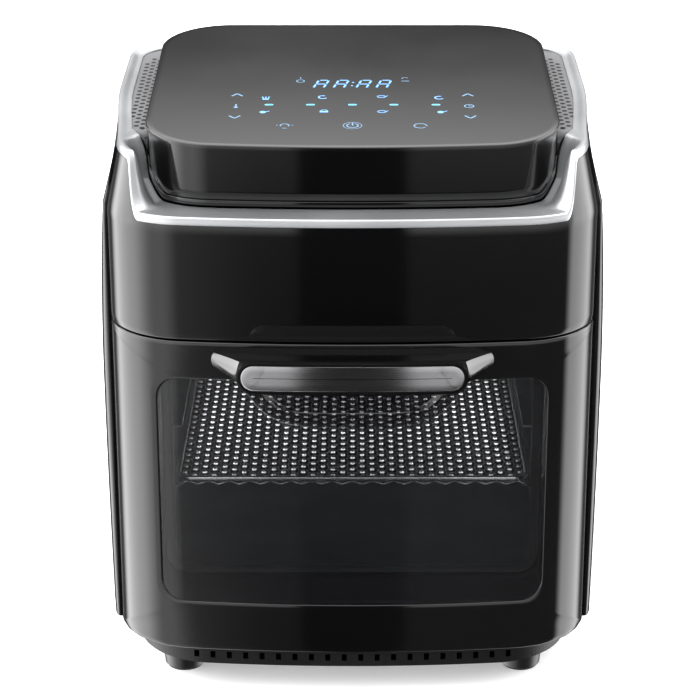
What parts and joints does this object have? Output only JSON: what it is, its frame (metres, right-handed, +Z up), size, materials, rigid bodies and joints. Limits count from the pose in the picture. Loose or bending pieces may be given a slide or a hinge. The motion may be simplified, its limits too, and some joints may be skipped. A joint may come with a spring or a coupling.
{
  "type": "air fryer oven",
  "caption": "Countertop air fryer oven with a drop-down windowed door, bar handle, sloping touch panel, silver top frame, mesh rack and hot-air fan.",
  "frame": {"origin": "on the table, under the middle of the bounding box", "axes": "+X to the right as the user faces the door, +Y to the back, +Z up"},
  "size_m": [0.314, 0.354, 0.3786],
  "materials": {
    "gloss_black": "high gloss moulded black plastic",
    "satin_black": "satin black moulded plastic",
    "silver_frame": "satin silver",
    "grille_grey": "satin grey",
    "panel_gloss": null,
    "board_green": "satin circuit board",
    "component": "satin electronic parts",
    "display": "dark display block",
    "foot_black": "satin black",
    "rubber": "matte",
    "liner_steel": "satin coated steel",
    "sheet_steel": "galvanised",
    "wire_chrome": "bright plated wire",
    "element": "heat-darkened sheath",
    "aluminium": "satin",
    "motor": "satin",
    "ceramic_white": "matte",
    "glass_clear": "clear toughened glass",
    "glass_smoked": "smoked toughened glass",
    "smoked_plastic": "smoked translucent plastic",
    "brushed_silver": "fine brushed",
    "cable": "matte cable sleeve",
    "red_plastic": "satin"
  },
  "bodies": {
    "housing": {"base_pan": "satin_black", "left_side_cover": "gloss_black", "right_side_cover": "gloss_black", "rear_cover": "satin_black", "front_upper_shell": "gloss_black", "top_bezel": "silver_frame", "vent_deck": "satin_black", "left_vent_grille": "grille_grey", "right_vent_grille": "grille_grey", "panel_housing": "gloss_black", "panel_floor": "satin_black", "panel_glass": "panel_gloss", "control_board": "board_green", "display_module": "display", "touch_springs": "wire_chrome", "front_left_foot": "foot_black", "front_right_foot": "foot_black", "rear_left_foot": "foot_black", "rear_right_foot": "foot_black", "foot_pads": "rubber", "oven_cavity": "liner_steel", "cavity_front_frame": "satin_black", "door_gasket": "rubber", "heating_element": "element", "element_brackets": "sheet_steel", "fan_guard": "sheet_steel", "fan_chamber": "sheet_steel", "fan_motor": "motor", "motor_bracket": "sheet_steel", "power_board": "board_green", "power_components": "component", "temperature_sensors": "ceramic_white", "lamp_housing": "sheet_steel", "lamp_lens": "glass_clear", "oven_lamp": "glass_clear", "left_rack_rail": "wire_chrome", "right_rack_rail": "wire_chrome", "mesh_rack": "wire_chrome", "drip_tray": "liner_steel", "rotisserie_motor": "motor", "door_switch": "satin_black", "door_magnets": "motor", "hinge_pins": "wire_chrome", "cord_gland": "satin_black", "cover_screws": "sheet_steel", "wiring_harness": "cable"},
    "door": {"door_frame": "gloss_black", "outer_glass": "glass_smoked", "inner_glass": "glass_clear", "door_liner": "satin_black", "handle_body": "gloss_black", "handle_insert": "brushed_silver", "finger_guard": "smoked_plastic", "handle_screws": "sheet_steel", "door_hinge_arms": "sheet_steel"},
    "fan": {"motor_shaft": "sheet_steel", "hot_air_impeller": "aluminium", "cooling_impeller": "satin_black"},
    "rotisserie": {"rotisserie_spindle": "wire_chrome"},
    "door_switch_button": {"switch_plunger": "red_plastic"}
  },
  "joints": [
    {"name": "door_hinge", "type": "hinge", "parent": "housing", "child": "door", "pos_m": [0, -0.118, 0.0265], "axis": [1, 0, 0], "range_deg": [0, 76]},
    {"name": "fan_spin", "type": "hinge", "parent": "housing", "child": "fan", "pos_m": [0, 0.021, 0.28], "axis": [0, 0, 1], "continuous": true},
    {"name": "rotisserie_spin", "type": "hinge", "parent": "housing", "child": "rotisserie", "pos_m": [-0.131, 0.021, 0.143], "axis": [1, 0, 0], "continuous": true},
    {"name": "door_switch_press", "type": "slide", "parent": "housing", "child": "door_switch_button", "axis": [0, 1, 0], "range_m": [0, 0.0015], "stiffness_N_per_m": 400}
  ]
}
